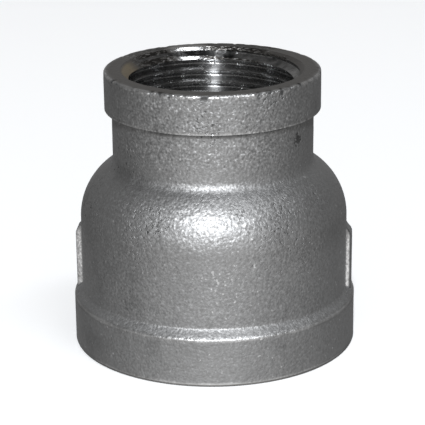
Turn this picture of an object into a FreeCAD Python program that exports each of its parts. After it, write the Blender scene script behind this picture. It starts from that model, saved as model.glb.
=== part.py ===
"""Banded bell reducer, 1-1/2 inch to 1 inch, cast in one piece and threaded inside at both ends.

Frame, in millimetres: Z is the pipe axis, the large end's rim stands on z = 0 and the small end
points up. The two wrench ribs lie close to +X and -X.
"""
import FreeCAD, Part
import math
import os

import Sketcher

NODE = "reducer_casting"

# Alias, value in millimetres or degrees, and what it measures.
DIMENSIONS = (
    ("overall_height", 52.6, "rim to rim"),
    ("large_band_radius", 26.9, "outside of the band round the large end"),
    ("large_band_height", 9.15, "large band, from the rim to its chamfer"),
    ("skirt_radius", 25.3, "outside of the body above the large band"),
    ("skirt_bottom", 10.65, "height where the band's chamfer meets the skirt"),
    ("shoulder_arc", 12.0, "radius of the bell's round shoulder"),
    ("shoulder_fillet", 2.2, "hollow where the shoulder meets the neck"),
    ("neck_radius", 18.9, "outside of the neck"),
    ("neck_bottom", 36.2, "height where the neck starts"),
    ("small_band_radius", 20.25, "outside of the band round the small end"),
    ("small_band_height", 7.4, "small band, from its step to the rim"),
    ("large_root", 23.9, "thread root radius, 1-1/2 inch"),
    ("large_crest", 22.42, "thread crest radius, 1-1/2 inch"),
    ("large_bore", 22.35, "tapping bore past the large thread"),
    ("large_mouth", 24.7, "countersink radius at the large rim"),
    ("large_thread_top", 19.0, "height where the large thread ends"),
    ("small_root", 16.62, "thread root radius, 1 inch"),
    ("small_crest", 15.15, "thread crest radius, 1 inch"),
    ("small_bore", 15.05, "tapping bore past the small thread"),
    ("small_mouth", 17.15, "countersink radius at the small rim"),
    ("small_thread_bottom", 36.1, "height where the small thread ends"),
    ("thread_pitch", 2.309, "11 threads to the inch"),
    ("flank_angle", 27.5, "slope of each flank of the 55 degree thread"),
    ("crest_width", 0.385, "flat on top of the thread ridge"),
    ("ridge_overlap", 0.06, "depth of the ridge's foot in the wall"),
    ("ridge_overrun", 1.25, "run of each ridge past the ends of its thread"),
    ("small_start_angle", 145.0, "turn of the small ridge's inner end from the X axis"),
    ("large_start_angle", 0.0, "turn of the large ridge's outer end from the X axis"),
    ("trim_reach", 4.0, "how far the cut that trims a ridge reaches past the rim and inwards"),
    ("rib_radius", 26.4, "outer face of the wrench ribs"),
    ("rib_width", 4.8, "width of a rib across its outer face"),
    ("rib_top", 22.3, "height where a rib's bevel meets the skirt"),
    ("rib_bevel", 1.3, "height of the bevel on top of a rib"),
    ("rib_root", 24.6, "inner end of a rib, inside the wall"),
    ("rib_foot", 8.0, "lower end of a rib, inside the large band"),
    ("rib_turn", 4.0, "turn of the ribs from the X axis towards -Y"),
    ("rim_rounding", 0.5, "rounding of both rims' outer edges"),
    ("edge_rounding", 0.3, "rounding of the bands' other edges"),
    ("corner_rounding", 0.35, "hollow corner between neck and small band"),
)

LOWER, UPPER = -1, 1  # the ends of the pipe axis


def new_sheet(doc):
    """The spreadsheet of driving dimensions: value, alias and meaning on each row."""
    sheet = doc.addObject("Spreadsheet::Sheet", "dims")
    for row, (alias, value, meaning) in enumerate(DIMENSIONS, start=1):
        sheet.set(f"A{row}", str(value))
        sheet.setAlias(f"A{row}", alias)
        sheet.set(f"B{row}", meaning)
    doc.recompute()
    return sheet


def new_body(doc, name):
    """An empty body at the frame's origin."""
    body = doc.addObject("PartDesign::Body", name)
    body.Label = name
    body.Placement = FreeCAD.Placement()
    return body


def origin_feature(body, role):
    """The body's own origin plane or axis that has this role."""
    return next(f for f in body.Origin.OriginFeatures if f.Role == role)


def new_sketch(body, name, turn=0):
    """An empty sketch whose x is the radius and whose y is the height.

    It lies on the body's XZ plane, turned about the pipe axis by a number of degrees.
    """
    sketch = body.newObject("Sketcher::SketchObject", name)
    sketch.AttachmentSupport = [(origin_feature(body, "XZ_Plane"), "")]
    sketch.MapMode = "FlatFace"
    about_axis = FreeCAD.Rotation(FreeCAD.Vector(0, 1, 0), turn)
    sketch.AttachmentOffset = FreeCAD.Placement(FreeCAD.Vector(), about_axis)
    return sketch


def join(sketch, kind, first, first_end, second, second_end):
    """Join ends with a Coincident or Tangent constraint: 1 is a start, 2 an end, 3 a centre."""
    sketch.addConstraint(Sketcher.Constraint(kind, first, first_end, second, second_end))


def run(sketch, points):
    """Straight lines through the points, joined end to end and levelled or plumbed."""
    sides = []
    for start, end in zip(points, points[1:]):
        segment = Part.LineSegment(FreeCAD.Vector(*start, 0), FreeCAD.Vector(*end, 0))
        side = sketch.addGeometry(segment)
        if start[1] == end[1]:
            sketch.addConstraint(Sketcher.Constraint("Horizontal", side))
        if start[0] == end[0]:
            sketch.addConstraint(Sketcher.Constraint("Vertical", side))
        if sides:
            join(sketch, "Coincident", sides[-1], 2, side, 1)
        sides.append(side)
    return sides


def outline(sketch, corners):
    """A closed polygon through the corners; side n starts at corner n."""
    sides = run(sketch, corners + corners[:1])
    join(sketch, "Coincident", sides[-1], 2, sides[0], 1)
    return sides


def arc(sketch, centre, radius, start_angle, end_angle):
    """An arc that runs anticlockwise between two angles in radians."""
    circle = Part.Circle(FreeCAD.Vector(*centre, 0), FreeCAD.Vector(0, 0, 1), radius)
    return sketch.addGeometry(Part.ArcOfCircle(circle, start_angle, end_angle))


def bind(sketch, kind, where, name, expression):
    """Add a dimension, give it a name and tie it to an expression of the sheet.

    where is a geometry and one of its ends for a distance from the origin, or one arc's geometry.
    """
    if kind == "Radius":
        now = sketch.Geometry[where[0]].Radius
        added = sketch.addConstraint(Sketcher.Constraint(kind, *where, now))
    else:
        point = sketch.getPoint(*where)
        now = point.x if kind == "DistanceX" else point.y
        added = sketch.addConstraint(Sketcher.Constraint(kind, -1, 1, *where, now))
    sketch.renameConstraint(added, name)
    sketch.setExpression(f"Constraints.{name}", expression)


def casting_section(body, sheet):
    """Half section of the casting, with both thread bores at their root radius."""
    sketch = new_sketch(body, "casting_section")
    top = sheet.overall_height
    step = top - sheet.small_band_height
    large_cone = sheet.large_mouth - sheet.large_root
    small_cone = sheet.small_mouth - sheet.small_root

    # the shoulder and the hollow under the neck are two arcs that touch, tangent to skirt and neck
    centre_radius = sheet.skirt_radius - sheet.shoulder_arc
    hollow_radius = sheet.neck_radius + sheet.shoulder_fillet
    between = sheet.shoulder_arc + sheet.shoulder_fillet
    sweep = math.acos((hollow_radius - centre_radius) / between)
    skirt_top = sheet.neck_bottom - between * math.sin(sweep)
    # inside, a dome about the shoulder's centre joins the two tapping bores
    dome_radius = sheet.large_bore - centre_radius
    dome_sweep = math.acos((sheet.small_bore - centre_radius) / dome_radius)
    dome_top = skirt_top + dome_radius * math.sin(dome_sweep)

    lower_cone, large_rim, large_band, chamfer, skirt = run(
        sketch,
        [
            (sheet.large_root, large_cone),
            (sheet.large_mouth, 0),
            (sheet.large_band_radius, 0),
            (sheet.large_band_radius, sheet.large_band_height),
            (sheet.skirt_radius, sheet.skirt_bottom),
            (sheet.skirt_radius, skirt_top),
        ],
    )
    neck, ledge, small_band, small_rim, upper_cone, small_wall, small_shelf, small_bore = run(
        sketch,
        [
            (sheet.neck_radius, sheet.neck_bottom),
            (sheet.neck_radius, step),
            (sheet.small_band_radius, step),
            (sheet.small_band_radius, top),
            (sheet.small_mouth, top),
            (sheet.small_root, top - small_cone),
            (sheet.small_root, sheet.small_thread_bottom),
            (sheet.small_bore, sheet.small_thread_bottom),
            (sheet.small_bore, dome_top),
        ],
    )
    large_bore, large_shelf, large_wall = run(
        sketch,
        [
            (sheet.large_bore, skirt_top),
            (sheet.large_bore, sheet.large_thread_top),
            (sheet.large_root, sheet.large_thread_top),
            (sheet.large_root, large_cone),
        ],
    )
    shoulder_centre = (centre_radius, skirt_top)
    hollow_centre = (hollow_radius, sheet.neck_bottom)
    shoulder = arc(sketch, shoulder_centre, sheet.shoulder_arc, 0, sweep)
    hollow = arc(sketch, hollow_centre, sheet.shoulder_fillet, math.pi, math.pi + sweep)
    dome = arc(sketch, shoulder_centre, dome_radius, 0, dome_sweep)

    join(sketch, "Tangent", skirt, 2, shoulder, 1)
    join(sketch, "Tangent", shoulder, 2, hollow, 2)
    join(sketch, "Tangent", hollow, 1, neck, 1)
    join(sketch, "Coincident", small_bore, 2, dome, 2)
    join(sketch, "Tangent", large_bore, 1, dome, 1)
    join(sketch, "Coincident", dome, 3, shoulder, 3)
    join(sketch, "Coincident", large_wall, 2, lower_cone, 1)
    sketch.addConstraint(Sketcher.Constraint("PointOnObject", large_rim, 1, -1))

    radii = (
        (large_rim, "large_mouth"),
        (large_band, "large_band_radius"),
        (skirt, "skirt_radius"),
        (neck, "neck_radius"),
        (small_band, "small_band_radius"),
        (upper_cone, "small_mouth"),
        (small_wall, "small_root"),
        (small_bore, "small_bore"),
        (large_bore, "large_bore"),
        (large_wall, "large_root"),
    )
    for side, name in radii:
        bind(sketch, "DistanceX", (side, 1), name, f"dims.{name}")
    heights = (
        (chamfer, "large_band_height", "dims.large_band_height"),
        (skirt, "skirt_bottom", "dims.skirt_bottom"),
        (neck, "neck_bottom", "dims.neck_bottom"),
        (ledge, "step_height", "dims.overall_height - dims.small_band_height"),
        (small_rim, "overall_height", "dims.overall_height"),
        (small_wall, "upper_cone_foot", "dims.overall_height - dims.small_mouth + dims.small_root"),
        (small_shelf, "small_thread_bottom", "dims.small_thread_bottom"),
        (large_shelf, "large_thread_top", "dims.large_thread_top"),
        (lower_cone, "lower_cone_top", "dims.large_mouth - dims.large_root"),
    )
    for side, name, expression in heights:
        bind(sketch, "DistanceY", (side, 1), name, expression)
    bind(sketch, "Radius", (shoulder,), "shoulder_arc", "dims.shoulder_arc")
    bind(sketch, "Radius", (hollow,), "shoulder_fillet", "dims.shoulder_fillet")
    return sketch


def turned_shape(body, sheet):
    """The round body of the casting."""
    feature = body.newObject("PartDesign::Revolution", "turned_shape")
    feature.Profile = casting_section(body, sheet)
    feature.ReferenceAxis = (origin_feature(body, "Z_Axis"), [""])
    feature.Angle = 360
    body.Document.recompute()


def round_edges(body, name, size, rings):
    """Round the full circles that lie at the given (radius, height) pairs."""
    base = body.Tip
    chosen = []
    for number, edge in enumerate(base.Shape.Edges, start=1):
        if not isinstance(edge.Curve, Part.Circle):
            continue
        found = (edge.Curve.Radius, edge.Curve.Center.z)
        if any(math.dist(found, ring) < 1e-4 for ring in rings):
            chosen.append(f"Edge{number}")
    if len(chosen) != len(rings):
        raise RuntimeError(f"{name}: {len(rings)} edges wanted, {len(chosen)} found")
    feature = body.newObject("PartDesign::Fillet", name)
    feature.Base = (base, chosen)
    feature.setExpression("Radius", f"dims.{size}")
    body.Document.recompute()


def softened_edges(body, sheet):
    """Small roundings, as a casting has them."""
    top = sheet.overall_height
    step = top - sheet.small_band_height
    rims = ((sheet.large_band_radius, 0), (sheet.small_band_radius, top))
    bands = (
        (sheet.small_band_radius, step),
        (sheet.large_band_radius, sheet.large_band_height),
        (sheet.skirt_radius, sheet.skirt_bottom),
    )
    round_edges(body, "rim_edges", "rim_rounding", rims)
    round_edges(body, "band_edges", "edge_rounding", bands)
    round_edges(body, "neck_corner", "corner_rounding", ((sheet.neck_radius, step),))


def wrench_ribs(body, sheet):
    """Two upright ribs on opposite sides of the skirt, bevelled on top."""
    sketch = new_sketch(body, "rib_outline", -sheet.rib_turn)
    root, back, bevel, face, _ = outline(
        sketch,
        [
            (sheet.rib_root, sheet.rib_foot),
            (sheet.rib_root, sheet.rib_top),
            (sheet.skirt_radius, sheet.rib_top),
            (sheet.rib_radius, sheet.rib_top - sheet.rib_bevel),
            (sheet.rib_radius, sheet.rib_foot),
        ],
    )
    bind(sketch, "DistanceX", (root, 1), "root_radius", "dims.rib_root")
    bind(sketch, "DistanceY", (root, 1), "foot_height", "dims.rib_foot")
    bind(sketch, "DistanceY", (back, 1), "top_height", "dims.rib_top")
    bind(sketch, "DistanceX", (bevel, 1), "bevel_radius", "dims.skirt_radius")
    bind(sketch, "DistanceX", (face, 1), "face_radius", "dims.rib_radius")
    bind(sketch, "DistanceY", (face, 1), "bevel_height", "dims.rib_top - dims.rib_bevel")
    pad = body.newObject("PartDesign::Pad", "first_rib")
    pad.Profile = sketch
    pad.Midplane = True
    pad.setExpression("Length", "dims.rib_width")
    body.Document.recompute()
    pair = body.newObject("PartDesign::PolarPattern", "rib_pair")
    pair.Originals = [pad]
    pair.Axis = (origin_feature(body, "Z_Axis"), [""])
    pair.Angle = 360
    pair.Occurrences = 2
    body.Tip = pair
    body.Document.recompute()


def ridge_profile(body, sheet, end, start, turn):
    """Section of one thread's ridge, with its foot a little way into the wall."""
    sketch = new_sketch(body, f"{end}_ridge_profile", turn)
    root = getattr(sheet, f"{end}_root")
    crest = getattr(sheet, f"{end}_crest")
    middle = sheet.evalExpression(start)
    foot = root + sheet.ridge_overlap
    half_crest = sheet.crest_width / 2
    half_foot = half_crest + (foot - crest) * math.tan(math.radians(sheet.flank_angle))
    lower, tip, upper, wall = outline(
        sketch,
        [
            (foot, middle - half_foot),
            (crest, middle - half_crest),
            (crest, middle + half_crest),
            (foot, middle + half_foot),
        ],
    )
    foot_radius = f"dims.{end}_root + dims.ridge_overlap"
    half_tip = "dims.crest_width / 2"
    spread = f"{half_tip} + ({foot_radius} - dims.{end}_crest) * tan(dims.flank_angle)"
    bind(sketch, "DistanceX", (wall, 1), "foot_radius", foot_radius)
    bind(sketch, "DistanceX", (tip, 1), "crest_radius", f"dims.{end}_crest")
    bind(sketch, "DistanceY", (lower, 1), "foot_low", f"{start} - ({spread})")
    bind(sketch, "DistanceY", (tip, 1), "crest_low", f"{start} - {half_tip}")
    bind(sketch, "DistanceY", (upper, 1), "crest_high", f"{start} + {half_tip}")
    bind(sketch, "DistanceY", (wall, 1), "foot_high", f"{start} + {spread}")
    return sketch


def mouth_trim(body, sheet, end, rim, outward):
    """Cut away what stands in the 45 degree mouth of a bore or past its rim."""
    sketch = new_sketch(body, f"{end}_mouth_profile")
    height = sheet.evalExpression(rim)
    mouth = getattr(sheet, f"{end}_mouth")
    reach = sheet.trim_reach
    cone, lip, lid, _ = outline(
        sketch,
        [
            (mouth - reach, height - outward * reach),
            (mouth, height),
            (mouth, height + outward * reach),
            (mouth - reach, height + outward * reach),
        ],
    )
    inwards, outwards = ("-", "+") if outward == UPPER else ("+", "-")
    bind(sketch, "DistanceX", (cone, 1), "inner_radius", f"dims.{end}_mouth - dims.trim_reach")
    bind(sketch, "DistanceY", (cone, 1), "inner_height", f"{rim} {inwards} dims.trim_reach")
    bind(sketch, "DistanceX", (lip, 1), "mouth_radius", f"dims.{end}_mouth")
    bind(sketch, "DistanceY", (lip, 1), "rim_height", rim)
    bind(sketch, "DistanceY", (lid, 1), "outer_height", f"{rim} {outwards} dims.trim_reach")
    feature = body.newObject("PartDesign::Groove", f"{end}_mouth_trim")
    feature.Profile = sketch
    feature.ReferenceAxis = (origin_feature(body, "Z_Axis"), [""])
    feature.Angle = 360
    body.Document.recompute()


def thread_ridge(doc, sheet, end, start, finish, rim, outward):
    """A right-hand helical ridge for one bore, climbing from start to finish.

    end is "small" or "large"; start, finish and rim are heights, as expressions of the sheet.
    """
    body = new_body(doc, f"{end}_thread_ridge")
    feature = body.newObject("PartDesign::AdditiveHelix", f"{end}_ridge_helix")
    turn = getattr(sheet, f"{end}_start_angle")
    feature.Profile = ridge_profile(body, sheet, end, start, turn)
    feature.ReferenceAxis = (origin_feature(body, "Z_Axis"), [""])
    feature.Mode = "pitch-height-angle"
    feature.setExpression("Pitch", "dims.thread_pitch")
    feature.setExpression("Height", f"{finish} - ({start})")
    doc.recompute()
    whole = feature.Shape.Volume
    mouth_trim(body, sheet, end, rim, outward)
    if not 0.5 * whole < body.Shape.Volume < whole:
        raise RuntimeError(f"the {end} ridge is not trimmed at its mouth")
    return body


def reducer_casting(doc, sheet):
    """The whole fitting, which is one piece of metal."""
    body = new_body(doc, NODE)
    turned_shape(body, sheet)
    softened_edges(body, sheet)
    wrench_ribs(body, sheet)
    bare = body.Shape.Volume
    over = "dims.ridge_overrun"
    small_start = f"dims.small_thread_bottom - {over}"
    large_finish = f"dims.large_thread_top + {over}"
    top = "dims.overall_height"
    ridges = (
        thread_ridge(doc, sheet, "small", small_start, f"{top} + {over}", top, UPPER),
        thread_ridge(doc, sheet, "large", f"-1 * {over}", large_finish, "0", LOWER),
    )
    for ridge in ridges:
        feature = body.newObject("PartDesign::Boolean", f"fused_{ridge.Label}")
        feature.Type = "Fuse"
        feature.addObject(ridge)
        body.Tip = feature
        doc.recompute()
    if body.Shape.Volume <= bare:
        raise RuntimeError("the thread ridges add nothing to the casting")
    return body


def check(doc, parts):
    """Stop on any failed object or unsound solid."""
    for item in doc.Objects:
        if "Invalid" in item.State or "Error" in item.State:
            raise RuntimeError(f"{item.Name} failed: {item.getStatusString()}")
    for part in parts:
        shape = part.Shape
        if shape.isNull() or not shape.isValid() or len(shape.Solids) != 1:
            raise RuntimeError(f"{part.Label} is not one sound solid")


def main():
    doc = FreeCAD.newDocument("bell_reducer")
    sheet = new_sheet(doc)
    parts = [reducer_casting(doc, sheet)]
    doc.recompute()
    check(doc, parts)
    os.makedirs("parts", exist_ok=True)
    for part in parts:
        part.Shape.exportStep(f"parts/{part.Label}.step")
        print(f"{part.Label}: {part.Shape.Volume:.0f} mm3")


main()
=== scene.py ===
import math

import bmesh
import bpy
import numpy as np
from mathutils import Matrix, Quaternion, Vector, noise


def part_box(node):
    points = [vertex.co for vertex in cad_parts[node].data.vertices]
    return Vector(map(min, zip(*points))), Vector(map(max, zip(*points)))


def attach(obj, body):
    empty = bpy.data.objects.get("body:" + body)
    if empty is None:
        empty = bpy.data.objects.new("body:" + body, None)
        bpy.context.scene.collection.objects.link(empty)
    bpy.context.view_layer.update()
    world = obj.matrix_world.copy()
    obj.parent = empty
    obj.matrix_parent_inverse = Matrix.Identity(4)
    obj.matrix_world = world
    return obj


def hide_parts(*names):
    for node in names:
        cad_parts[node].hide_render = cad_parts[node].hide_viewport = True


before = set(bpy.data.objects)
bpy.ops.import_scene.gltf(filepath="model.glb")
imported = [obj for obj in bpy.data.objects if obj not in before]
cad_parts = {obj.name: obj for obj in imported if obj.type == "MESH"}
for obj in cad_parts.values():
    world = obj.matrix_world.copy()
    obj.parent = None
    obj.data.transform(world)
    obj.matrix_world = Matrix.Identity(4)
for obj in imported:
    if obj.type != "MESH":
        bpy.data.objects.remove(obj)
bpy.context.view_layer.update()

MM = 0.001
NODE = "reducer_casting"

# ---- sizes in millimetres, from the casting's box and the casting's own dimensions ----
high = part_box(NODE)[1]   # the upper corner of the casting's box, in metres
HEIGHT = high.z / MM
LARGE_BAND = high.y / MM
LARGE_BAND_HEIGHT = 9.15
SKIRT = 25.3
SKIRT_BOTTOM = 10.65
SHOULDER_ARC = 12.0
SHOULDER_FILLET = 2.2
NECK = 18.9
NECK_BOTTOM = 36.2
SMALL_BAND = 20.25
SMALL_BAND_HEIGHT = 7.4

PITCH = 2.309
FLANK = math.radians(27.5)
CREST_HALF = 0.1925
ROOT_ROUNDING = 0.317
SMALL_THREAD = dict(root=16.62, crest=15.15, bore=15.05, mouth=17.15, start=33.92)
SMALL_THREAD_BOTTOM = 36.1
LARGE_THREAD = dict(root=23.9, crest=22.42, bore=22.35, mouth=24.7, start=-1.25)
LARGE_THREAD_TOP = 19.0
RUN_OUT_SLOPE = 1.6      # how fast a thread's root comes in where the tap stopped

RIB_FACE = 26.4
RIB_HALF_WIDTH = 2.4
RIB_FOOT = RIB_HALF_WIDTH + 0.05    # half of a rib's width at its foot
RIB_FLANK = 0.7          # how far a rib's flank leans in from its foot to its face
RIB_TOP = 22.3
RIB_BEVEL = 1.3
# Each rib: its turn from the X axis, and how far up its flanks, from 0 to 1, a painted highlight
# reaches before painted shade.
RIBS = ((math.radians(-4.0), 0.65), (math.radians(176.0), 1.0))
FLANK_HIGHLIGHT, FLANK_SHADE = 1.5, -0.9    # edge values that paint a highlight on a flank, and paint shade above it

# Chips along the small rim's outer edge: turn from the X axis in degrees, width in millimetres.
CHIPS = (
    (-155, 0.6), (-123, 0.5), (-118, 0.8), (-112, 0.5), (-66, 0.5), (-60, 0.9), (-52, 0.6),
    (-38, 0.5), (-8, 0.7), (31, 0.8), (77, 0.5), (118, 0.9), (149, 0.6),
)
CHIP_DEPTH = 0.16
KNOCK_DEPTH = 0.13
DULLING = 0.05           # a dent this deep takes all the shine off a worn edge
SWELLS = ((7.0, 0.035), (1.9, 0.016))    # spread and height of the cast skin's swells
SKIN_SINK = 0.04         # keeps the swells inside the casting's true outline

# ---- places on the casting, in metres ----
FLAW = (0.0155, -0.0108, 0.0417)             # a casting flaw on the neck
SCUFF = (0.0013, -0.0253, 0.0191)            # where the skirt is rubbed by handling, with the most painted glints
CLEAN_FACING = (-0.0047, 0.0168, 0.0519)     # where the small mouth was faced smooth
BROWN_REFLECTION_SPOT = (-0.0155, 0.0015, 0.0514)   # where a brown reflection is painted on the facing
TORN_FACING = (-0.0105, 0.0135, 0.0519), (0.0052, 0.0162, 0.0519)    # and where it tore
SHADED_TURN = (-0.0020, 0.0166, 0.0519)       # where painted shade makes the first groove of the thread blackest
PITTED = (                                   # where pits crowd on the shoulder, and how far round
    ((-0.0106, -0.0214, 0.0300), 0.0042),
    ((0.0045, -0.0223, 0.0317), 0.0022),
    ((0.0127, -0.0189, 0.0317), 0.0028),
)

# ---- mesh ----
COLUMNS = 276
ROW_STEP = 0.62
DOME_STEPS = 12
ARC_STEP = math.radians(16)
# Places of a thread's rings within one turn, closest where its outline bends.
SMALL_PHASES = (0, 0.07, 0.10, 0.19, 0.28, 0.378, 0.43, 0.5, 0.57, 0.622, 0.72, 0.81, 0.90, 0.93)
LARGE_PHASES = (0, 0.07, 0.10, 0.378, 0.44, 0.5, 0.56, 0.622, 0.90, 0.93)
CAST, THREAD, RIM = 0, 1, 2     # the finishes, in the order of the piece's materials


def unit(vector):
    return vector / np.linalg.norm(vector)


def corner_arc(before, corner, after, rounding):
    """Points along the arc that rounds a corner, or the corner alone where it is sharp."""
    if rounding == 0:
        return [corner]
    back, ahead = unit(before - corner), unit(after - corner)
    half = math.acos(np.clip(back @ ahead, -1, 1)) / 2
    centre = corner + unit(back + ahead) * rounding / math.sin(half)
    begin = corner + back * rounding / math.tan(half) - centre
    end = corner + ahead * rounding / math.tan(half) - centre
    turn = math.atan2(begin[0] * end[1] - begin[1] * end[0], begin @ end)
    by_turn, by_length = abs(turn) / ARC_STEP, abs(turn) * rounding / ROW_STEP
    steps = max(3, math.ceil(by_turn), round(by_length))
    arc = []
    for k in range(steps + 1):
        angle = math.atan2(begin[1], begin[0]) + turn * k / steps
        arc.append(centre + rounding * np.array([math.cos(angle), math.sin(angle)]))
    return arc


def rounded(corners, finishes):
    """Rows (radius, height, finish, edge) along an outline.

    A corner is (radius, height, rounding, edge), and finishes has one finish per straight run.
    edge is 1 where the corner is worn and painted lighter, partly as a painted highlight, and below
    0 where painted shade darkens a hollow or crease.
    """
    points = [np.array(c[:2], float) for c in corners]
    rows = [(*points[0], finishes[0], 0.0)]
    last = len(points) - 1
    for i in range(1, len(points)):
        rounding, edge = corners[i][2:]
        start = np.array(rows[-1][:2])
        arc = corner_arc(points[i - 1], points[i], points[min(i + 1, last)], rounding)
        run = arc[0] - start
        parts = max(1, round(np.linalg.norm(run) / ROW_STEP))
        for k in range(1, parts):
            rows.append((*(start + run * k / parts), finishes[i - 1], 0.0))
        for spot in arc[:-1]:
            rows.append((*spot, finishes[i - 1], edge))
        rows.append((*arc[-1], finishes[min(i, last - 1)], edge))
    return rows


def shoulder_shape():
    """The corners rounded into the shoulder and the hollow above it, and the shoulder's centre."""
    centre = SKIRT - SHOULDER_ARC
    reach = SHOULDER_ARC + SHOULDER_FILLET
    sweep = math.acos((NECK + SHOULDER_FILLET - centre) / reach)
    base = NECK_BOTTOM - reach * math.sin(sweep)
    touch_radius = centre + SHOULDER_ARC * math.cos(sweep)
    touch_height = base + SHOULDER_ARC * math.sin(sweep)
    lower = touch_height - (SKIRT - touch_radius) / math.tan(sweep)
    upper = touch_height + (touch_radius - NECK) / math.tan(sweep)
    shoulder = (SKIRT, lower, SHOULDER_ARC, 0.0)
    # the hollow's edge value paints a little shade into it
    hollow = (NECK, upper, SHOULDER_FILLET, -0.1)
    return shoulder, hollow, (centre, base)


def outer_rows():
    """Outside of the casting, from the large mouth's edge over the bands to the small mouth's."""
    shoulder, hollow, _ = shoulder_shape()
    step = HEIGHT - SMALL_BAND_HEIGHT
    # edge values: 1 paints a worn edge lighter, partly as a painted highlight; -0.7 paints shade
    # into the crease under the small band
    corners = [
        (LARGE_THREAD["mouth"], 0, 0, 0.0),
        (LARGE_BAND, 0, 0.5, 1.0),
        (LARGE_BAND, LARGE_BAND_HEIGHT, 0.3, 1.0),
        (SKIRT, SKIRT_BOTTOM, 0.5, 0.2),
        shoulder,
        hollow,
        (NECK, step, 0.35, -0.7),
        (SMALL_BAND, step, 0.25, 1.0),
        (SMALL_BAND, HEIGHT, 0.5, 1.0),
        (SMALL_THREAD["mouth"], HEIGHT, 0, 0.0),
    ]
    finishes = [RIM] + [CAST] * 7 + [RIM]
    return rounded(corners, finishes)


def dome_rows():
    """Inside of the bell between the two tapping bores, from the small end down."""
    centre, base = shoulder_shape()[2]
    radius = LARGE_THREAD["bore"] - centre
    top = math.acos((SMALL_THREAD["bore"] - centre) / radius)
    rows = [(SMALL_THREAD["bore"], SMALL_THREAD_BOTTOM, THREAD, 0.0)]
    for k in range(DOME_STEPS + 1):
        angle = top * (1 - k / DOME_STEPS)
        rows.append((centre + radius * math.cos(angle), base + radius * math.sin(angle), CAST, 0.0))
    for k in range(1, 4):
        height = base + (LARGE_THREAD_TOP - base) * k / 4
        rows.append((LARGE_THREAD["bore"], height, THREAD, 0.0))
    return rows


def column_angles():
    """Angles of the mesh's columns, closer together along both sides of each rib."""
    angles = [2 * math.pi * i / COLUMNS for i in range(COLUMNS)]
    offsets = (-0.95, -0.70, -0.56, -0.42, -0.28, -0.14, 0.0, 0.10, 0.30)    # mm outwards
    near = 1.05 / SKIRT
    for rib, _ in RIBS:
        for side in (-1, 1):
            middle = rib + side * math.asin(RIB_HALF_WIDTH / RIB_FACE)
            angles = [a for a in angles if abs(math.remainder(a - middle, 2 * math.pi)) > near]
            angles += [(middle + side * o / RIB_FACE) % (2 * math.pi) for o in offsets]
    return np.array(sorted(angles))


def smooth(x):
    x = np.clip(x, 0, 1)
    return x * x * (3 - 2 * x)


def add_ribs(radius, height, angles):
    """Radii of one ring, raised where the two wrench ribs are, and their flanks' painted light and
    shade.
    """
    radius = np.full(len(angles), float(radius))
    flank_light = np.zeros(len(angles))
    if not LARGE_BAND_HEIGHT - 1 < height < RIB_TOP + 0.5:
        return radius, flank_light
    face = RIB_FACE - (RIB_FACE - SKIRT) * max(0, (height - RIB_TOP + RIB_BEVEL) / RIB_BEVEL)
    for rib, bright in RIBS:
        turn = np.array([math.remainder(a - rib, 2 * math.pi) for a in angles])
        across = np.abs(RIB_FACE * np.sin(turn))
        near = np.abs(turn) < 0.5
        flat = face / np.cos(np.where(near, turn, 0))
        share = np.clip((RIB_FOOT - across) / RIB_FLANK, 0, 1) * near
        raised = SKIRT + (flat - SKIRT) * share
        flank = (share > 0) & (share < 1) & (raised > radius)
        # a flank gets a painted highlight below its reach and painted shade above it
        flank_light = np.where(flank, np.where(share < bright, FLANK_HIGHLIGHT, FLANK_SHADE), flank_light)
        radius = np.where(near, np.maximum(radius, raised), radius)
    return radius, flank_light


def thread_radius(across, thread):
    """Radius of the thread's surface at a distance along the axis from the middle of a crest."""
    from_crest = np.abs((across / PITCH + 0.5) % 1.0 - 0.5) * PITCH
    flank = thread["crest"] + np.maximum(0, from_crest - CREST_HALF) / math.tan(FLANK)
    from_root = np.minimum(PITCH / 2 - from_crest, ROOT_ROUNDING)
    root = thread["root"] - ROOT_ROUNDING + np.sqrt(ROOT_ROUNDING**2 - from_root**2)
    return np.where(from_root < ROOT_ROUNDING * math.cos(FLANK), root, flank)


def threaded_rings(thread, top, bottom, mouth_height, angles, phases):
    """Rings of a right-hand thread from top down to bottom, each following the helix.

    phases are the rings' places within one turn. The rings climb one pitch a turn and are held
    between the two ends, so a ring meets the one len(phases) before it at the seam.
    """
    turns = angles / (2 * math.pi)
    first = math.ceil((top - thread["start"]) / PITCH)
    rings, k = [], 0
    while True:
        place = k // len(phases) + phases[k % len(phases)]
        crest_place = thread["start"] + PITCH * (first - place)
        heights = np.clip(crest_place + PITCH * turns, bottom, top)
        radii = thread_radius(heights - thread["start"] - PITCH * turns, thread)
        inner_end = bottom if mouth_height == top else top
        limit = thread["bore"] + RUN_OUT_SLOPE * np.abs(heights - inner_end)
        radii = np.minimum(radii, limit)
        radii = np.maximum(radii, thread["mouth"] - np.abs(heights - mouth_height))
        rings.append((radii, heights))
        if crest_place + PITCH <= bottom:
            return rings
        k += 1


def casting_rings(angles):
    """All rings of the casting in order, and how many of them are its outside.

    A ring is (radii, heights, finish, edge, across), where across is the ring that its last
    column meets at the seam: itself, or in a thread the ring one turn before it.
    """
    count = len(angles)
    rings = []

    def add(radii, heights, finish, edge, across):
        spread = (np.broadcast_to(values, count) for values in (radii, heights, edge))
        radii, heights, edge = spread
        rings.append((radii, heights, finish, edge, across))

    def add_thread(thread, top, bottom, mouth_height, phases):
        first = len(rings)
        for radii, heights in threaded_rings(thread, top, bottom, mouth_height, angles, phases):
            add(radii, heights, THREAD, 0.0, max(len(rings) - len(phases), first))

    for radius, height, finish, edge in outer_rows():
        radii, flank_light = add_ribs(radius, height, angles)
        add(radii, height, finish, edge + flank_light, len(rings))
    outside = len(rings)
    add_thread(SMALL_THREAD, HEIGHT, SMALL_THREAD_BOTTOM, HEIGHT, SMALL_PHASES)
    for radius, height, finish, edge in dome_rows():
        add(radius, height, finish, edge, len(rings))
    add_thread(LARGE_THREAD, LARGE_THREAD_TOP, 0, 0, LARGE_PHASES)
    return rings, outside


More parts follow.
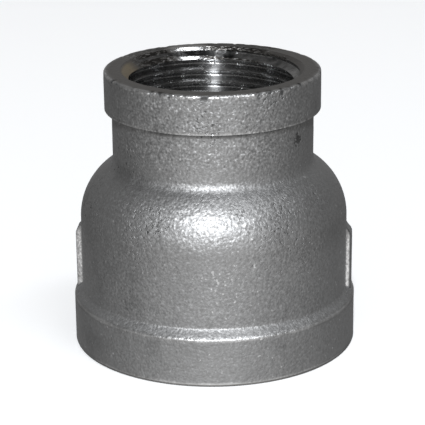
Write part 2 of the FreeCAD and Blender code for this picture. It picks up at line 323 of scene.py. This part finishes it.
def face_finishes(radii, heights, finishes):
    """The finish of every face: its ring's, but the countersinks that cut a thread are rim."""
    finish = np.repeat(np.array(finishes)[:, None], radii.shape[1], axis=1)
    for thread, mouth in ((SMALL_THREAD, HEIGHT), (LARGE_THREAD, 0)):
        cone = thread["mouth"] - np.abs(heights - mouth)
        finish[(finish == THREAD) & (np.abs(radii - cone) < 0.001)] = RIM
    return finish


def casting_mesh():
    """The closed mesh of the whole casting."""
    angles = column_angles()
    rings, outside = casting_rings(angles)
    radii, heights, finishes, edges, across = zip(*rings)
    radii, heights = np.array(radii), np.array(heights)
    points = np.stack([radii * np.cos(angles), radii * np.sin(angles), heights], axis=-1)
    dents = rim_dents(points, radii, heights)
    # edge values: worn edges and dents, with painted highlights on edges and rib flanks and painted
    # shade in creases
    edge_wear_and_light = np.array(edges) - dents / DULLING
    points = weathered(points, np.array(finishes), dents, outside)
    finish = face_finishes(radii, heights, finishes)

    faces, finish_of = [], []
    total, count = radii.shape
    for j in range(total):
        up = (j + 1) % total
        here, there = j * count, up * count
        for i in range(count - 1):
            faces.append((here + i, here + i + 1, there + i + 1, there + i))
        seam = (here + count - 1, across[j] * count, across[up] * count, there + count - 1)
        faces.append(seam)
        finish_of += [int(f) for f in finish[j]]
    mesh = bpy.data.meshes.new("reducer")
    mesh.from_pydata(points.reshape(-1, 3) * MM, [], faces)
    mesh.polygons.foreach_set("material_index", finish_of)
    edge = mesh.attributes.new("edge", "FLOAT", "POINT")
    edge.data.foreach_set("value", edge_wear_and_light.astype(np.float32).ravel())
    return mesh


def rim_dents(points, radii, heights):
    """Depth of the small knocks and chips along the top edge of the small band."""
    from_edge = np.hypot(radii - SMALL_BAND, heights - HEIGHT)
    near = smooth(1.25 - from_edge / 1.1)    # 1 within 0.3 mm of the edge, 0 past 1.4 mm
    dents = np.zeros(radii.shape)
    for j, i in zip(*np.nonzero(near)):
        spot = Vector(points[j, i])
        around = math.atan2(spot.y, spot.x)
        knock = noise.noise(spot / 1.5) + 0.5 * noise.noise(spot / 0.8)
        torn = 0.7 + noise.noise(spot / 0.6)
        chip = 0.0
        for azimuth, width in CHIPS:
            apart = SMALL_BAND * abs(math.remainder(around - math.radians(azimuth), 2 * math.pi))
            chip = max(chip, 1 - apart / width)
        dents[j, i] = near[j, i] * (KNOCK_DEPTH * max(0, knock) + CHIP_DEPTH * chip * torn)
    return dents


def weathered(points, finishes, dents, outside):
    """Move the cast skin by soft uneven swells and press in the dents."""
    tangent = np.roll(points, -1, axis=0) - np.roll(points, 1, axis=0)
    around = np.roll(points, -1, axis=1) - np.roll(points, 1, axis=1)
    normal = np.cross(around, tangent)
    length = np.linalg.norm(normal, axis=-1, keepdims=True)
    normal = normal / np.maximum(length, 1e-9)
    cast = np.zeros(len(points))
    cast[:outside] = [f == CAST for f in finishes[:outside]]
    moved = points - normal * dents[..., None]
    for j in np.nonzero(cast)[0]:
        for i in range(points.shape[1]):
            spot = Vector(points[j, i])
            swell = sum(rise * noise.noise(spot / spread) for spread, rise in SWELLS)
            moved[j, i] += normal[j, i] * (swell - SKIN_SINK)
    return moved


def finished_casting():
    """The casting as an object, with doubled points merged and its sharp edges marked."""
    mesh = casting_mesh()
    piece = bpy.data.objects.new("reducer", mesh)
    bpy.context.scene.collection.objects.link(piece)
    work = bmesh.new()
    work.from_mesh(mesh)
    bmesh.ops.remove_doubles(work, verts=work.verts, dist=0.002 * MM)
    bmesh.ops.dissolve_degenerate(work, edges=work.edges, dist=0.001 * MM)
    bmesh.ops.recalc_face_normals(work, faces=work.faces)
    for face in work.faces:
        face.smooth = True
    work.to_mesh(mesh)
    work.free()
    mesh.set_sharp_from_angle(angle=math.radians(38))
    return piece


# ---- materials ----


def node(tree, kind, inputs=None, **settings):
    """Add a shader node, set its properties, and set or link its inputs by name or number."""
    made = tree.nodes.new(kind)
    for name, value in settings.items():
        setattr(made, name, value)
    for name, value in (inputs or {}).items():
        if isinstance(value, bpy.types.NodeSocket):
            tree.links.new(value, made.inputs[name])
        else:
            made.inputs[name].default_value = value
    return made


def new_material(name):
    material = bpy.data.materials.new(name)
    material.use_nodes = True
    tree = material.node_tree
    tree.nodes.clear()
    return material, tree


def grey(value, warmth=-0.010):
    """A grey colour, a little reddish where warmth is above 0 and bluish below it."""
    return (value * (1 + warmth), value, value * (1 - warmth), 1)


def ramp(tree, factor, stops):
    """The colour at a factor between stops, each a (place, colour)."""
    made = node(tree, "ShaderNodeValToRGB", {"Fac": factor})
    elements = made.color_ramp.elements
    for (place, colour), element in zip(stops, list(elements) + [None] * (len(stops) - 2)):
        element = element or elements.new(place)
        element.position = place
        element.color = colour
    return made.outputs["Color"]


def noise_at(tree, place, scale, detail=2.0, roughness=0.5):
    """A noise value between 0 and 1 whose grains are 1 / scale metres across."""
    inputs = {"Vector": place, "Scale": scale, "Detail": detail, "Roughness": roughness}
    return node(tree, "ShaderNodeTexNoise", inputs).outputs["Fac"]


def remap(tree, value, start, end, to_start, to_end):
    """A value's range from start to end, stretched on to another range and held to it."""
    ends = {"From Min": start, "From Max": end, "To Min": to_start, "To Max": to_end}
    return node(tree, "ShaderNodeMapRange", {"Value": value, **ends}).outputs["Result"]


def math_node(tree, operation, first, second):
    made = node(tree, "ShaderNodeMath", {0: first, 1: second}, operation=operation)
    return made.outputs["Value"]


def vector_node(tree, operation, inputs, output="Vector"):
    made = node(tree, "ShaderNodeVectorMath", inputs, operation=operation)
    return made.outputs[output]


def plus(tree, first, second):
    return math_node(tree, "ADD", first, second)


def minus(tree, first, second):
    return math_node(tree, "SUBTRACT", first, second)


def times(tree, first, second):
    return math_node(tree, "MULTIPLY", first, second)


def larger(tree, first, second):
    return math_node(tree, "MAXIMUM", first, second)


def mixed(tree, share, first, second):
    """The first value where share is 0, the second where it is 1."""
    return remap(tree, share, 0.0, 1.0, first, second)


def bumped(tree, height, distance, normal=None):
    inputs = {"Height": height, "Distance": distance, "Strength": 1.0}
    if normal is not None:
        inputs["Normal"] = normal
    return node(tree, "ShaderNodeBump", inputs).outputs["Normal"]


def tilted(tree, place, scale, strength):
    """The surface normal leaning a random way from grain to grain, like blasted metal."""
    noise_inputs = {"Vector": place, "Scale": scale, "Detail": 1.0}
    colour = node(tree, "ShaderNodeTexNoise", noise_inputs).outputs["Color"]
    lean = vector_node(tree, "SUBTRACT", {0: colour, 1: (0.5, 0.5, 0.5)})
    lean = vector_node(tree, "SCALE", {0: lean, "Scale": strength})
    straight = node(tree, "ShaderNodeNewGeometry").outputs["Normal"]
    both = vector_node(tree, "ADD", {0: straight, 1: lean})
    return vector_node(tree, "NORMALIZE", {0: both})


def distance_to(tree, place, centre):
    return vector_node(tree, "DISTANCE", {0: place, 1: centre}, "Value")


def near_spot(tree, place, centre, radius):
    """1 at a point, falling to 0 a radius away from it."""
    return remap(tree, distance_to(tree, place, centre), 0.0, radius, 1.0, 0.0)


def finish_metal(tree, colour, roughness, normal, more=None):
    inputs = {"Base Color": colour, "Metallic": 1.0, "Roughness": roughness, "Normal": normal}
    shader = node(tree, "ShaderNodeBsdfPrincipled", {**inputs, **(more or {})})
    node(tree, "ShaderNodeOutputMaterial", {"Surface": shader.outputs["BSDF"]})


def cast_skin():
    """Blasted cast stainless: satin grey, grainy, pitted, worn edges painted lighter, creases
    painted darker.

    up is the share of the whole height: the skin is evener on the skirt than higher up.
    """
    material, tree = new_material("blasted_cast_stainless")
    place = node(tree, "ShaderNodeTexCoord").outputs["Object"]
    height = node(tree, "ShaderNodeSeparateXYZ", {"Vector": place}).outputs["Z"]
    up = math_node(tree, "DIVIDE", height, high.z)
    edge = node(tree, "ShaderNodeAttribute", attribute_name="edge").outputs["Fac"]
    cloud = noise_at(tree, place, 130, 3)
    blotch = noise_at(tree, place, 900, 2, 0.6)
    grain = noise_at(tree, place, 2100, 1)

    # pits gather in loose patches, and one deeper flaw sits high on the neck
    patch = noise_at(tree, place, 95, 1)
    for spot, radius in PITTED:
        crowd = times(tree, near_spot(tree, place, spot, radius), 0.5)
        patch = plus(tree, patch, crowd)
    patch = remap(tree, patch, 0.48, 0.64, 0.0, 1.0)
    patch = times(tree, patch, remap(tree, up, 0.36, 0.50, 0.25, 0.85))
    pits = remap(tree, noise_at(tree, place, 1700, 2, 0.6), 0.57, 0.68, 0.0, 1.0)
    pits = times(tree, pits, patch)
    flaw = near_spot(tree, place, FLAW, 0.0025)
    flaw = times(tree, flaw, noise_at(tree, place, 1500, 1))
    flaw = remap(tree, flaw, 0.25, 0.33, 0.0, 1.0)
    dark = larger(tree, pits, flaw)
    sound = minus(tree, 1.0, dark)

    # high spots painted lighter, as rubbed metal and as painted glints, most of all in one scuff at
    # the front
    glint = times(tree, near_spot(tree, place, SCUFF, 0.0060), 0.12)
    glint = plus(tree, glint, noise_at(tree, place, 1300, 1))
    glint = remap(tree, glint, 0.69, 0.78, 0.0, 1.0)

    tone = remap(tree, cloud, 0.3, 0.7, 0.33, 0.67)
    # painted light: the neck is painted a little lighter between the hollow and the small band,
    # except on pits
    neck_painted_light = remap(tree, up, 0.68, 0.71, 0.0, 0.13)
    neck_painted_light = times(tree, neck_painted_light, remap(tree, up, 0.83, 0.86, 1.0, 0.0))
    tone = plus(tree, tone, times(tree, neck_painted_light, sound))
    # the edge value paints worn edges and rib flanks lighter, partly as a painted highlight, and
    # paints shade into creases
    tone = plus(tree, tone, times(tree, edge, 0.50))
    tone = plus(tree, tone, times(tree, glint, 0.50))
    tone = minus(tree, tone, times(tree, dark, 0.45))
    # a flank with its painted highlight has a tone past 1, to 1.25, so the levels' places are 0.8
    # of their tones
    levels = [(0.0, 0.10), (0.32, 0.30), (0.6, 0.335), (0.8, 0.55), (0.92, 0.55), (1.0, 0.90)]
    colour = ramp(tree, times(tree, tone, 0.8), [(share, grey(level)) for share, level in levels])
    rough = remap(tree, grain, 0.3, 0.7, 0.45, 0.57)
    rough = plus(tree, rough, remap(tree, up, 0.36, 0.46, 0.08, 0.0))
    rough = minus(tree, rough, times(tree, edge, 0.20))
    leans = [(0.17, 0.46), (0.26, 0.66), (0.42, 0.62), (0.52, 0.46), (0.70, 0.50), (0.77, 1.05)]
    strength = ramp(tree, up, [(share, grey(lean)) for share, lean in leans])
    normal = tilted(tree, place, 2200, strength)
    normal = bumped(tree, blotch, 0.00009, normal)
    normal = bumped(tree, grain, 0.00006, normal)
    normal = bumped(tree, sound, 0.00008, normal)
    finish_metal(tree, colour, rough, normal)
    return material


def turned_rings(tree, place, across, around):
    """Noise drawn out into rings round the axis, as a turning tool leaves them."""
    apart = node(tree, "ShaderNodeSeparateXYZ", {"Vector": place})
    x, y, z = (apart.outputs[name] for name in "XYZ")
    squares = plus(tree, times(tree, x, x), times(tree, y, y))
    radius = math_node(tree, "SQRT", squares, 0.0)
    stretched = node(
        tree,
        "ShaderNodeCombineXYZ",
        {
            "X": times(tree, x, around),
            "Y": times(tree, y, around),
            "Z": times(tree, plus(tree, z, radius), across),
        },
    ).outputs["Vector"]
    return noise_at(tree, stretched, 1.0, 2, 0.6)


def thread_metal():
    """Tapped stainless: dark, with tool marks that draw its highlights out along the axis."""
    material, tree = new_material("tapped_stainless")
    place = node(tree, "ShaderNodeTexCoord").outputs["Object"]
    cloud = noise_at(tree, place, 450, 3, 0.6)
    torn = remap(tree, noise_at(tree, place, 1400, 3, 0.6), 0.54, 0.72, 0.0, 1.0)
    torn = times(tree, torn, remap(tree, cloud, 0.50, 0.62, 0.0, 1.0))
    rings = turned_rings(tree, place, 9000, 500)
    split = node(tree, "ShaderNodeSeparateXYZ", {"Vector": place})
    # painted shade: the first turn at the back of the mouth is painted darker, most of all at one
    # spot
    groove_shade = remap(tree, split.outputs["Y"], 0.0065, 0.0095, 0.0, 0.30)
    groove_shade = larger(tree, groove_shade, near_spot(tree, place, SHADED_TURN, 0.0130))
    first_turn = remap(tree, split.outputs["Z"], 0.0503, 0.0507, 0.0, 0.64)
    groove_shade = times(tree, groove_shade, first_turn)
    shade = minus(tree, cloud, groove_shade)
    colour = ramp(tree, shade, [(0.0, grey(0.018)), (0.35, grey(0.23)), (0.65, grey(0.40))])
    rough = remap(tree, shade, 0.05, 0.35, 0.50, 0.30)
    rough = minus(tree, rough, remap(tree, cloud, 0.35, 0.65, 0.0, 0.08))
    normal = bumped(tree, torn, 0.00007)
    normal = bumped(tree, rings, 0.000004, normal)
    around = node(tree, "ShaderNodeTangent", direction_type="RADIAL", axis="Z").outputs["Tangent"]
    drawn_out = {"Anisotropic": 1.0, "Anisotropic Rotation": 0.25, "Tangent": around}
    finish_metal(tree, colour, rough, normal, drawn_out)
    return material


def rim_metal():
    """Faced end of the casting: torn here, with a painted brown reflection, smooth and bright
    there.
    """
    material, tree = new_material("faced_stainless")
    place = node(tree, "ShaderNodeTexCoord").outputs["Object"]
    edge = node(tree, "ShaderNodeAttribute", attribute_name="edge").outputs["Fac"]
    grit = turned_rings(tree, place, 2400, 1100)
    clean = remap(tree, near_spot(tree, place, CLEAN_FACING, 0.0060), 0.2, 0.5, 0.0, 1.0)
    # painted reflection: a brown reflection is painted on the facing at the left
    brown_reflection = remap(tree, near_spot(tree, place, BROWN_REFLECTION_SPOT, 0.0060), 0.0, 0.5, 0.0, 0.9)
    split = node(tree, "ShaderNodeSeparateXYZ", {"Vector": place})
    inside = remap(tree, split.outputs["Z"], high.z - 0.0001, high.z - 0.0005, 0.0, 1.0)
    brown_reflection = times(tree, brown_reflection, inside)
    left, right = (near_spot(tree, place, spot, 0.0115) for spot in TORN_FACING)
    back = times(tree, inside, remap(tree, split.outputs["Y"], 0.005, 0.009, 0.0, 0.55))
    torn = larger(tree, larger(tree, left, right), back)
    torn = plus(tree, torn, grit)
    torn = remap(tree, torn, 0.85, 1.05, 0.0, 1.0)
    torn = minus(tree, torn, clean)
    torn = larger(tree, torn, 0.0)
    tone = mixed(tree, torn, 0.46, remap(tree, grit, 0.50, 0.68, 0.0, 1.0))
    # the outer rounding is painted lighter: wear and a painted highlight
    tone = plus(tree, tone, times(tree, edge, 0.3))
    tone = mixed(tree, clean, tone, 1.0)
    # the outer edge of the facing is painted darker at the back
    radius = distance_to(tree, place, (0, 0, high.z))
    darker_back_edge = remap(tree, split.outputs["Y"], 0.012, 0.017, 0.0, 0.5)
    darker_back_edge = times(tree, darker_back_edge, remap(tree, radius, 0.0181, 0.0187, 0.0, 1.0))
    tone = minus(tree, tone, darker_back_edge)
    stops = [(0.0, grey(0.035, 0.05)), (0.46, grey(0.17, 0.03)), (1.0, grey(0.42))]
    bare = ramp(tree, tone, stops)
    brown = (0.40, 0.34, 0.24, 1)
    mix = node(tree, "ShaderNodeMix", {0: brown_reflection, 6: bare, 7: brown}, data_type="RGBA")
    colour = mix.outputs[2]
    rough = mixed(tree, clean, mixed(tree, torn, 0.38, 0.28), 0.16)
    relief = times(tree, grit, mixed(tree, clean, mixed(tree, torn, 0.5, 1.0), 0.08))
    normal = bumped(tree, relief, 0.00024)
    normal = bumped(tree, turned_rings(tree, place, 5000, 400), 0.000008, normal)
    finish_metal(tree, colour, rough, normal)
    return material


def floor_material():
    """A pale matt floor, with a faint glow that keeps it white far behind the object."""
    material, tree = new_material("pale_floor")
    glow = {"Emission Color": grey(1.0), "Emission Strength": 0.09}
    matt = {"Base Color": grey(0.97), "Roughness": 0.7}
    shader = node(tree, "ShaderNodeBsdfPrincipled", {**matt, **glow})
    node(tree, "ShaderNodeOutputMaterial", {"Surface": shader.outputs["BSDF"]})
    return material


# ---- floor, lights, camera ----

CAMERA_DISTANCE = 0.32327
CAMERA_HEIGHT = high.z + 0.08122
CAMERA_PITCH = math.radians(18.72)
CAMERA_YAW = math.radians(-0.04)
CAMERA_ROLL = math.radians(-0.593)
CAMERA_LENS = 151.76


def add_camera():
    data = bpy.data.cameras.new("camera")
    data.lens = CAMERA_LENS
    data.sensor_width = 36
    data.clip_start = 0.01
    camera = bpy.data.objects.new("camera", data)
    bpy.context.scene.collection.objects.link(camera)
    forward = Vector(
        (
            math.sin(CAMERA_YAW) * math.cos(CAMERA_PITCH),
            math.cos(CAMERA_YAW) * math.cos(CAMERA_PITCH),
            -math.sin(CAMERA_PITCH),
        )
    )
    level = forward.cross(Vector((0, 0, 1))).normalized()
    upright = level.cross(forward)
    right = level * math.cos(CAMERA_ROLL) + upright * math.sin(CAMERA_ROLL)
    up = upright * math.cos(CAMERA_ROLL) - level * math.sin(CAMERA_ROLL)
    turn = Matrix((right, up, -forward)).transposed()
    camera.matrix_world = Matrix.Translation((0, -CAMERA_DISTANCE, CAMERA_HEIGHT)) @ turn.to_4x4()
    bpy.context.scene.camera = camera


def add_light(name, width, depth, power, azimuth, elevation, distance, roll=0):
    """A soft light that faces the middle of the object, placed and turned by angles in degrees."""
    data = bpy.data.lights.new(name, "AREA")
    data.shape = "RECTANGLE"
    data.size = width
    data.size_y = depth
    data.energy = power
    data.color = (0.965, 0.98, 1.0)
    light = bpy.data.objects.new(name, data)
    bpy.context.scene.collection.objects.link(light)
    aim = Vector((0, 0, high.z / 2))
    around, above = math.radians(azimuth), math.radians(elevation)
    way = Vector(
        (math.cos(around) * math.cos(above), math.sin(around) * math.cos(above), math.sin(above))
    )
    light.location = aim + way * distance
    turn = way.to_track_quat("Z", "Y") @ Quaternion((0, 0, 1), math.radians(roll))
    light.rotation_euler = turn.to_euler()


def add_floor():
    mesh = bpy.data.meshes.new("floor")
    half = 6.0
    mesh.from_pydata(
        [(-half, -half, 0), (half, -half, 0), (half, half, 0), (-half, half, 0)],
        [],
        [(0, 1, 2, 3)],
    )
    mesh.materials.append(floor_material())
    floor = bpy.data.objects.new("floor", mesh)
    floor.visible_glossy = False
    bpy.context.scene.collection.objects.link(floor)


def add_world():
    """Dim surroundings, lighter low down in front and over the horizon behind."""
    world = bpy.data.worlds.new("studio")
    bpy.context.scene.world = world
    world.use_nodes = True
    tree = world.node_tree
    tree.nodes.clear()
    way = node(tree, "ShaderNodeTexCoord").outputs["Generated"]
    toward = vector_node(tree, "DOT_PRODUCT", {0: way, 1: (0, -0.95, -0.31)}, "Value")
    around = remap(tree, toward, -0.7, 0.4, 0.11, 0.35)
    ahead = remap(tree, toward, 0.4, 1.0, 0.0, 0.68)
    rise = node(tree, "ShaderNodeSeparateXYZ", {"Vector": way}).outputs["Z"]
    above_horizon = remap(tree, rise, -0.25, 0.10, 0.0, 1.0)
    behind = times(tree, remap(tree, toward, -0.2, -0.8, 0.0, 0.16), above_horizon)
    level = plus(tree, plus(tree, around, ahead), behind)
    shader = node(tree, "ShaderNodeBackground", {"Color": grey(1.0, 0.015), "Strength": level})
    node(tree, "ShaderNodeOutputWorld", {"Surface": shader.outputs["Background"]})
    bpy.context.scene.view_settings.view_transform = "Standard"


reducer = finished_casting()
reducer.data.materials.append(cast_skin())
reducer.data.materials.append(thread_metal())
reducer.data.materials.append(rim_metal())
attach(reducer, "root")
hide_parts(NODE)

add_floor()
add_world()
add_light("key", 0.40, 0.40, 96.0, -91.5, 36.3, 3.0)
add_light("window", 0.95, 0.42, 12.0, -34, 67, 3.0, roll=-36)
add_camera()
